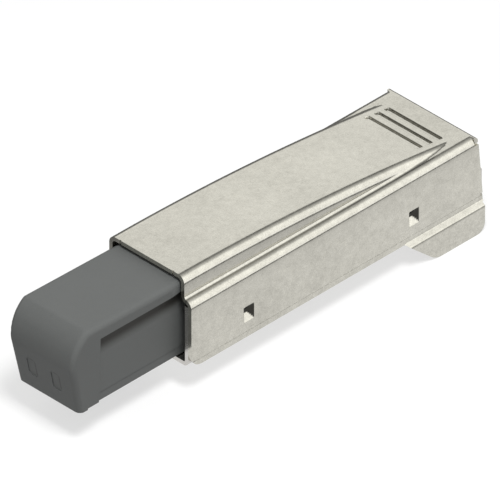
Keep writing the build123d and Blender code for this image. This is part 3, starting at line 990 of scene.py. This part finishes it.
    def build(self) -> bpy.types.Object:
        """Builds the whole cover as one closed mesh.

        Returns:
            The cover, with its soil attribute and its edges rounded.
        """
        sheet = SheetGrid()
        stations = self.stations()
        sections = [self.section(x) for x in stations]
        width = len(sections[0])
        full = 2 * width - 1
        for x, half_section in zip(stations, sections):
            for side in (-1, 1):
                ordered = half_section if side < 0 else half_section[-2::-1]
                for y, z, ny, nz, on_top in ordered:
                    painted_shade = self.painted_shade_at(x, y, z)
                    faces = [self.placed(x, y, z, ny, nz, inner, on_top) for inner in (False, True)]
                    sheet.add_point(*[(px + self.mouth, side * py, pz) for px, py, pz in faces], painted_shade)
        for row in range(len(stations) - 1):
            middle = (stations[row] + stations[row + 1]) / 2
            for column in range(full - 1):
                near = min(column, full - 2 - column)
                point, after = sections[row][near], sections[row][near + 1]
                if self.removed(middle, point, after):
                    continue
                corner = row * full + column
                sheet.add_cell(corner, corner + full, corner + full + 1, corner + 1)
        self.add_ears(sheet, stations, full)
        return sheet.finished("cover_sheet", self.edge_round)

    def add_ears(self, sheet: SheetGrid, stations: list[float], full: int) -> None:
        """Hangs both ears on the side's lower edge.

        Args:
            sheet: The grid that already holds the rest of the cover.
            stations: The distances from the mouth of its rows.
            full: How many points each of its rows has.
        """
        joggle_end = self.joggle_rise - self.joggle_top
        lead, foot = [joggle_end + row for row in self.joggle_rows]
        depths = sorted([*self.ear_rows, lead, foot, *[self.ear_drop - row for row in self.ear_foot_rows]])
        front, rear = self.ear_front_at(0.0), self.ear_rear
        rows = [n for n, x in enumerate(stations) if front - CLOSE <= x <= rear + CLOSE]
        for side, column in ((-1, 0), (1, full - 1)):
            above = [row * full + column for row in rows]
            for depth in depths:
                here = []
                left, right = self.ear_front_at(-depth), self.ear_rear_at(-depth)
                for row in rows:
                    share = (stations[row] - stations[rows[0]]) / (stations[rows[-1]] - stations[rows[0]])
                    x = left + share * (right - left)
                    outer = self.half - self.crease_depth + self.joggle_at(x, -depth, False)
                    inner = self.half - self.sheet + self.joggle_at(x, -depth, True)
                    places = [(x + self.mouth, side * y, -depth) for y in (outer, inner)]
                    # Painted shade along the ears' bend line.
                    here.append(sheet.add_point(*places, self.joggle_painted_shade if depth == foot else 0.0))
                for n in range(len(rows) - 1):
                    cell = (above[n], here[n], here[n + 1], above[n + 1])
                    sheet.add_cell(*(cell if side < 0 else cell[::-1]))
                above = here


@dataclass
class MouldedPlunger:
    """The plunger, worked over from its solid. Sizes in mm, x from the mouth.

    The nose's lower front is raked back, the pockets in it are shallower, and the sides are
    scooped out under the ledges. A painted shade attribute darkens the places that the ledges and
    the pockets' rims shade in the photograph.
    """

    rake: float = 0.5
    rake_height: float = 9.0
    rake_start: float = 1.7
    rake_end: float = 3.3
    nose_lean: float = 8.5
    pocket_middle: tuple[float, float] = (2.55, 5.27)
    pocket_half: tuple[float, float] = (0.95, 1.75)
    pocket_corner: float = 0.4
    pocket_rim: float = 0.31
    rim_height: float = 7.1
    pocket_depth: float = 0.5
    pocket_lift: float = 0.4
    pocket_border: float = 0.45
    pocket_shade: float = 0.1
    pocket_play: float = 0.05
    ledge_height: float = 12.73
    scoop_front: float = -16.6
    scoop_rear: float = 2.0
    scoop_half: float = 5.9
    scoop_height: float = 3.4
    scoop_profile: tuple[tuple[float, float], ...] = ((0.0, 0.0), (0.03, 1.02), (0.1, 1.8), (0.25, 2.652))
    scoop_overlap: float = 0.5
    scoop_play: float = 0.03
    panel_half: float = 6.37
    shade_height: float = 1.8
    sharp_angle: float = 32.0

    def __post_init__(self) -> None:
        """Takes the nose's tip and the cover's mouth from the frame."""
        self.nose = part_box("plunger")[0].x / MM
        self.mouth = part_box("cover")[0].x / MM

    def build(self) -> bpy.types.Object:
        """Builds the plunger from a merged copy of its solid.

        Returns:
            One closed mesh object.
        """
        form = bmesh.new()
        form.from_mesh(frame["nodes"]["plunger"].data)
        bmesh.ops.remove_doubles(form, verts=form.verts, dist=0.001 * MM)
        floors = self.rework(form)
        bmesh.ops.inset_region(form, faces=floors, thickness=self.pocket_border * MM, use_even_offset=True)
        form.verts.index_update()
        faces = [[corner.index for corner in face.verts] for face in form.faces]
        mesh = bpy.data.meshes.new("plunger_moulding")
        mesh.from_pydata([point.co.copy() for point in form.verts], [], faces)
        form.free()
        piece = in_scene("plunger_moulding", mesh)
        bars = self.scoop_bars()
        cut = piece.modifiers.new("scoops", "BOOLEAN")
        cut.operation = "DIFFERENCE"
        cut.solver = "EXACT"
        cut.object = bars
        piece = with_modifiers_applied(piece)
        bpy.data.objects.remove(bars)
        shade_smooth(piece.data, self.sharp_angle)
        self.shade(piece.data)
        even = piece.modifiers.new("even_shading", "WEIGHTED_NORMAL")
        even.keep_sharp = True
        return with_modifiers_applied(piece)

    def rim_at(self, z: float) -> float:
        """How far behind the nose's tip the pockets' rim is at a height, before the rake."""
        return self.pocket_rim + (self.rim_height - z) * tan(radians(self.nose_lean))

    def in_pocket(self, y: float, z: float) -> bool:
        """Tells whether a place is inside a pocket's outline, seen from the front.

        Args:
            y: Distance from the middle.
            z: Height.

        Returns:
            True inside it.
        """
        across = abs(abs(y) - self.pocket_middle[0]) - self.pocket_half[0]
        up = abs(z - self.pocket_middle[1]) - self.pocket_half[1]
        return max(across, up) < self.pocket_play

    def rework(self, form: bmesh.types.BMesh) -> list[bmesh.types.BMFace]:
        """Rakes the nose's front and lifts the pockets' floors.

        Args:
            form: The plunger, in metres.

        Returns:
            The faces of the pockets' floors.
        """
        lifted = set()
        for point in form.verts:
            behind, y, z = point.co.x / MM - self.nose, point.co.y / MM, point.co.z / MM
            if behind > self.rake_end:
                continue
            if self.in_pocket(y, z) and behind > self.rim_at(z) + self.pocket_depth / 2:
                point.co.x -= self.pocket_lift * MM
                lifted.add(point)
            near = 1.0 - ramp(behind, self.rake_start, self.rake_end)
            low = 1.0 - ramp(z, 0.0, self.rake_height)
            point.co.x += self.rake * near * low * MM
        return [face for face in form.faces if all(corner in lifted for corner in face.verts)]

    def shade(self, mesh: bpy.types.Mesh) -> None:
        """Paints shade into the hollows under the ledges and along the pockets' shaded edges.

        Args:
            mesh: The plunger's mesh, which gets the painted shade attribute.
        """
        painted_shade = mesh.attributes.new(PAINTED_SHADE, "FLOAT", "POINT")
        for point in mesh.vertices:
            x, y, z = point.co / MM
            # Painted shade: full on the pockets' floors by the rims on the lamp's side and the top, and
            # under the ledges fading downwards.
            if self.on_shaded_floor(x - self.nose, y, z):
                painted_shade.data[point.index].value = 1.0
            along = self.scoop_front - CLOSE < x - self.mouth < self.scoop_rear + CLOSE
            across = self.scoop_half - self.scoop_play < abs(y) < self.panel_half + self.scoop_play
            below = self.ledge_height - z
            if along and across and -CLOSE < below < self.scoop_height:
                painted_shade.data[point.index].value = 1.0 - ramp(below, self.shade_height, self.scoop_height)

    def on_shaded_floor(self, behind: float, y: float, z: float) -> bool:
        """Whether a place is on a pocket's floor, along its upper edge or its edge on the lamp's side.

        Args:
            behind: Distance behind the nose's tip.
            y: Distance from the nose's middle.
            z: Height.

        Returns:
            True where the rim keeps the light out.
        """
        rim = self.rim_at(z) + self.rake * (1.0 - z / self.rake_height)
        if not (self.in_pocket(y, z) and self.pocket_play < behind - rim < self.pocket_depth):
            return False
        out = abs(y) - self.pocket_middle[0]
        lampward = (-out if y > 0.0 else out) - self.pocket_half[0]
        up = z - self.pocket_middle[1] - self.pocket_half[1]
        foot = z - self.pocket_middle[1] + self.pocket_half[1]
        edge = max(lampward, up, lampward + up + self.pocket_corner)
        return edge > -self.pocket_shade and foot > self.pocket_corner

    def scoop_bars(self) -> bpy.types.Object:
        """Builds the two bars that hollow the sides out under the ledges.

        Returns:
            Both bars as one object.
        """
        outside = self.panel_half + self.scoop_overlap
        top, bottom = self.ledge_height, self.ledge_height - self.scoop_height
        outline = [(outside, top)]
        outline += [(self.scoop_half + out, top - down) for out, down in self.scoop_profile]
        outline += [(self.panel_half + CLOSE, bottom), (outside, bottom)]
        ends = (self.mouth + self.scoop_front, self.mouth + self.scoop_rear)
        count = len(outline)
        bar = [(n, (n + 1) % count, (n + 1) % count + count, n + count) for n in range(count)]
        bar += [tuple(reversed(range(count))), tuple(range(count, 2 * count))]
        places, faces = [], []
        for side in (-1, 1):
            faces += [tuple(len(places) + n for n in wall[::-side]) for wall in bar]
            places += [(x, side * y, z) for x in ends for y, z in outline]
        mesh = bpy.data.meshes.new("scoop")
        mesh.from_pydata([Vector(place) * MM for place in places], [], faces)
        solid = bmesh.new()
        solid.from_mesh(mesh)
        bmesh.ops.recalc_face_normals(solid, faces=solid.faces)
        solid.to_mesh(mesh)
        solid.free()
        return in_scene("scoop", mesh)


@dataclass
class ReturnSpring:
    """The coil spring in the cylinder, wound by a rule along the damper's axis. Sizes in mm."""

    wire: float = 0.6
    turns: int = 8
    steps_per_turn: int = 40
    wire_sides: int = 10

    def tree(self, material: bpy.types.Material) -> bpy.types.NodeTree:
        """Builds the Geometry Nodes tree that winds the coil.

        Args:
            material: The wire's material.

        Returns:
            The tree, with its sizes as named inputs.
        """
        tree = bpy.data.node_groups.new("wound_coil", "GeometryNodeTree")
        tree.interface.new_socket("Geometry", in_out="INPUT", socket_type="NodeSocketGeometry")
        for label in ("Length", "Coil Radius", "Wire Radius", "Turns"):
            tree.interface.new_socket(label, in_out="INPUT", socket_type="NodeSocketFloat")
        tree.interface.new_socket("Start", in_out="INPUT", socket_type="NodeSocketVector")
        tree.interface.new_socket("Geometry", in_out="OUTPUT", socket_type="NodeSocketGeometry")
        wiring = Wiring(tree)
        sizes = wiring.add("NodeGroupInput").outputs
        coil = wiring.add(
            "GeometryNodeCurveSpiral",
            Resolution=self.steps_per_turn,
            Rotations=sizes["Turns"],
            Start_Radius=sizes["Coil Radius"],
            End_Radius=sizes["Coil Radius"],
            Height=sizes["Length"],
        ).outputs[0]
        round_wire = {"Resolution": self.wire_sides, "Radius": sizes["Wire Radius"]}
        ring = wiring.add("GeometryNodeCurvePrimitiveCircle", **round_wire).outputs[0]
        wire = wiring.add("GeometryNodeCurveToMesh", Curve=coil, Profile_Curve=ring, Fill_Caps=True)
        laid = wiring.add("GeometryNodeTransform", Geometry=wire.outputs[0], Translation=sizes["Start"])
        laid.inputs["Rotation"].default_value = (0.0, radians(90), 0.0)
        real = wiring.add("GeometryNodeRealizeInstances", Geometry=laid.outputs[0])
        dressed = wiring.add("GeometryNodeSetMaterial", Geometry=real.outputs[0], Material=material)
        wiring.add("NodeGroupOutput", Geometry=dressed.outputs[0])
        return tree

    def build(self, material: bpy.types.Material) -> bpy.types.Object:
        """Winds the spring in the space that the frame gives it.

        Args:
            material: The wire's material.

        Returns:
            The spring as a plain mesh.
        """
        low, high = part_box("return_spring")
        wire_radius = self.wire * MM / 2
        piece = in_scene("wound_spring", bpy.data.meshes.new("wound_spring"))
        winding = piece.modifiers.new("winding", "NODES")
        winding.node_group = self.tree(material)
        values = {
            "Length": high.x - low.x - 2 * wire_radius,
            "Coil Radius": (high.z - low.z) / 2 - wire_radius,
            "Wire Radius": wire_radius,
            "Turns": float(self.turns),
            "Start": (low.x + wire_radius, 0.0, (low.z + high.z) / 2),
        }
        for item in winding.node_group.interface.items_tree:
            if item.in_out == "INPUT" and item.name in values:
                winding[item.identifier] = values[item.name]
        piece = with_modifiers_applied(piece)
        shade_smooth(piece.data)
        return piece


@dataclass(frozen=True)
class Studio:
    """The pale floor, the soft lights and the camera.

    Sizes are in metres, the camera's lens and sensor in mm, and a strength of 1 is white. The
    cards and the ring are stops of a place and a strength: the cards' places run in Y, from
    -card_reach to card_reach, and the ring's from +Y over the top to -Y.
    """

    pixels: float = 500.0
    pixels_per_mm: float = 5.44
    lens: float = 1500.0
    sensor: float = 36.0
    look_at: tuple[float, float, float] = (-0.0082, 0.0, 0.00623)
    far_limit: float = 10.0
    floor_half: float = 4.0
    floor_grey: float = 0.86
    floor_bounce: float = 0.25
    floor_glow: float = 0.6
    card_reach: float = 0.1
    cards: tuple[tuple[float, float], ...] = (
        (0.0, 1.3), (0.2, 1.3), (0.27, 0.2), (0.33, 0.2), (0.35, 0.35),
        (0.37, 0.83), (0.6, 0.83), (0.62, 0.35), (0.64, 0.15), (1.0, 0.15),
    )
    ring: tuple[tuple[float, float], ...] = (
        (0.0, 0.2), (0.13, 0.2), (0.19, 1.08), (0.235, 1.02), (0.25, 0.95), (0.265, 0.98), (0.305, 0.2),
        (0.38, 0.22), (0.49, 0.5), (0.6, 0.75), (0.66, 1.15), (0.72, 1.32), (0.95, 1.32), (1.0, 1.1),
    )
    ambient: float = 0.55
    sky: tuple[float, float, float, float] = (1.0, 1.0, 0.985, 1.0)
    lamp_place: tuple[float, float, float] = (-0.12, -0.17, 0.42)
    lamp_size: float = 0.12
    lamp_watts: float = 1.9

    def add_camera(self) -> None:
        """Puts the camera at the photograph's angle: equal shares of -X, -Y and +Z."""
        data = bpy.data.cameras.new("camera")
        data.lens = self.lens
        data.sensor_width = self.sensor
        data.clip_end = self.far_limit
        camera = in_scene("camera", data)
        back = Vector((-1.0, -1.0, 1.0)).normalized()
        width = self.pixels / self.pixels_per_mm * sqrt(2.0 / 3.0) * MM
        camera.location = Vector(self.look_at) + back * (width / self.sensor * self.lens)
        camera.rotation_mode = "QUATERNION"
        camera.rotation_quaternion = (-back).to_track_quat("-Z", "Y")
        bpy.context.scene.camera = camera

    def add_floor(self) -> None:
        """Lays a pale floor at the height of the ears' lower edge."""
        low, _ = cad_box
        half = self.floor_half
        mesh = bpy.data.meshes.new("floor")
        corners = [(-half, -half, low.z), (half, -half, low.z), (half, half, low.z), (-half, half, low.z)]
        mesh.from_pydata(corners, [], [(0, 1, 2, 3)])
        mesh.materials.append(self.floor_material())
        in_scene("floor", mesh)

    def floor_material(self) -> bpy.types.Material:
        """Builds the floor's paint, with cards along X that only reflections show.

        Returns:
            The material.
        """
        material = bpy.data.materials.new("floor_paint")
        material.use_nodes = True
        nodes = material.node_tree.nodes
        nodes.remove(nodes["Principled BSDF"])
        wiring = Wiring(material.node_tree)
        light = wiring.add("ShaderNodeLightPath").outputs
        seen_grey, lit_grey = [(grey, grey, grey, 1.0) for grey in (self.floor_grey, self.floor_bounce)]
        grey = wiring.mix_colours(light["Is Diffuse Ray"], seen_grey, lit_grey)
        paint = wiring.add("ShaderNodeBsdfDiffuse", Color=grey)
        place = wiring.add("ShaderNodeTexCoord").outputs["Object"]
        across = wiring.add("ShaderNodeSeparateXYZ", Vector=place).outputs["Y"]
        card = wiring.ramp(wiring.math("MULTIPLY_ADD", across, 0.5 / self.card_reach, 0.5), self.cards)
        glow = wiring.add("ShaderNodeEmission", Strength=wiring.mix(light["Is Camera Ray"], card, 1.0))
        direct = wiring.math("MAXIMUM", light["Is Camera Ray"], light["Is Glossy Ray"])
        direct = wiring.math("MAXIMUM", direct, light["Is Transmission Ray"])
        share = wiring.math("MULTIPLY_ADD", light["Is Glossy Ray"], 1.0 - self.floor_glow, self.floor_glow)
        mixed = wiring.add("ShaderNodeMixShader", Fac=wiring.math("MULTIPLY", direct, share))
        wiring.feed(mixed.inputs[1], paint.outputs[0])
        wiring.feed(mixed.inputs[2], glow.outputs[0])
        wiring.feed(nodes["Material Output"].inputs["Surface"], mixed.outputs[0])
        return material

    def add_world(self) -> None:
        """Surrounds the object with long soft boxes and gaps along its length; the camera sees white."""
        world = bpy.data.worlds.new("studio")
        bpy.context.scene.world = world
        world.use_nodes = True
        wiring = Wiring(world.node_tree)
        toward = wiring.add("ShaderNodeTexCoord").outputs["Generated"]
        parts = wiring.add("ShaderNodeSeparateXYZ", Vector=toward).outputs
        turn = wiring.math("ARCTAN2", parts["Z"], parts["Y"])
        boxes = wiring.ramp(wiring.math("DIVIDE", turn, radians(180)), self.ring)
        light = wiring.add("ShaderNodeLightPath").outputs
        shade = wiring.mix(light["Is Diffuse Ray"], boxes, self.ambient)
        background = world.node_tree.nodes["Background"]
        background.inputs["Color"].default_value = self.sky
        wiring.feed(background.inputs["Strength"], wiring.mix(light["Is Camera Ray"], shade, 1.0))

    def add_lamp(self) -> None:
        """Hangs a soft lamp that points at the object and shows in no reflection."""
        data = bpy.data.lights.new("key", "AREA")
        data.energy = self.lamp_watts
        data.size = self.lamp_size
        lamp = in_scene("key", data)
        lamp.location = self.lamp_place
        lamp.rotation_mode = "QUATERNION"
        lamp.rotation_quaternion = Vector(self.lamp_place).to_track_quat("Z", "Y")
        lamp.visible_glossy = False

    def build(self) -> None:
        """Sets up everything that isn't the object."""
        bpy.context.scene.view_settings.view_transform = "Standard"
        self.add_camera()
        self.add_floor()
        self.add_world()
        self.add_lamp()


FINISHES = (
    Finish(
        "nickel_cover", (0.80, 0.78, 0.70), (0.50, 0.486, 0.432), metallic=1.0, roughness=0.13,
        # Painted shade from the cover's attribute, at full strength.
        roughness_spread=0.08, grain_scale=4000.0, relief=0.000005, painted_shade=1.0,
    ),
    Finish(
        "nickel_tray", (0.71, 0.69, 0.66), (0.62, 0.60, 0.57), metallic=1.0, roughness=0.2,
        roughness_spread=0.1, grain_scale=3600.0, relief=0.000004,
    ),
    Finish(
        "plunger_plastic", (0.112, 0.117, 0.115), (0.093, 0.097, 0.095), roughness=0.52,
        # Painted shade from the plunger's attribute, at full strength.
        roughness_spread=0.14, grain_scale=5200.0, clump=0.2, relief=0.000012, painted_shade=1.0,
    ),
    Finish(
        "carrier_plastic", (0.070, 0.072, 0.070), (0.058, 0.060, 0.058), roughness=0.5,
        roughness_spread=0.12, grain_scale=4800.0, relief=0.00001,
    ),
    Finish(
        "cylinder_plastic", (0.62, 0.62, 0.58), (0.55, 0.55, 0.51), roughness=0.35, roughness_spread=0.12,
        grain_scale=4200.0, relief=0.000008,
    ),
    Finish(
        "bearing_plastic", (0.70, 0.68, 0.60), (0.63, 0.61, 0.54), roughness=0.4, roughness_spread=0.1,
        grain_scale=4200.0, relief=0.000008,
    ),
    Finish(
        "rod_steel", (0.56, 0.56, 0.55), (0.48, 0.48, 0.47), metallic=1.0, roughness=0.15,
        roughness_spread=0.1, grain_scale=6000.0, relief=0.000002,
    ),
    Finish(
        "spring_steel", (0.40, 0.39, 0.37), (0.30, 0.29, 0.28), metallic=1.0, roughness=0.28,
        roughness_spread=0.12, grain_scale=6000.0, relief=0.000003,
    ),
    Finish(
        "seal_rubber", (0.030, 0.030, 0.030), (0.018, 0.018, 0.018), roughness=0.55, roughness_spread=0.2,
        grain_scale=5000.0, relief=0.00001,
    ),
    Finish(
        "foam", (0.34, 0.33, 0.30), (0.16, 0.155, 0.14), roughness=0.85, roughness_spread=0.1,
        grain_scale=2600.0, clump=0.1, relief=0.00008,
    ),
)


def dress_nodes(materials: dict[str, bpy.types.Material]) -> None:
    """Gives every carried-over piece the finish of its slot in the record.

    Args:
        materials: The finished materials by slot.
    """
    for part in frame["record"]["subparts"]:
        piece = frame["nodes"][part["node"]]
        slot = part["material_slot"]
        piece.data.materials.clear()
        piece.data.materials.append(materials[slot])
        log.info("%s wears %s", part["node"], slot)


def compress(spring: bpy.types.Object) -> None:
    """Gives the finished spring a mesh of its own.

    Args:
        spring: The finished spring, at rest.
    """
    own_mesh(spring)


def main() -> None:
    """Builds the studio, the finishes and the pieces, in order."""
    logging.basicConfig(level=logging.INFO, format="%(name)s: %(message)s")
    Studio().build()
    grain = grain_group()
    handling = handling_group()
    materials = {finish.name: finish.material(grain, handling) for finish in FINISHES}
    dress_nodes(materials)
    cover = PressedCover().build()
    cover.data.materials.append(materials["nickel_cover"])
    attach(cover, Body.HOUSING.value)
    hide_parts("cover")
    log.info("cover: %d faces", len(cover.data.polygons))
    plunger = MouldedPlunger().build()
    plunger.data.materials.clear()
    plunger.data.materials.append(materials["plunger_plastic"])
    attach(plunger, Body.PLUNGER.value)
    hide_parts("plunger")
    log.info("plunger: %d faces", len(plunger.data.polygons))
    spring = ReturnSpring().build(materials["spring_steel"])
    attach(spring, Body.HOUSING.value)
    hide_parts("return_spring")
    compress(spring)
    log.info("spring: %d faces", len(spring.data.polygons))


if __name__ == "__main__":
    main()
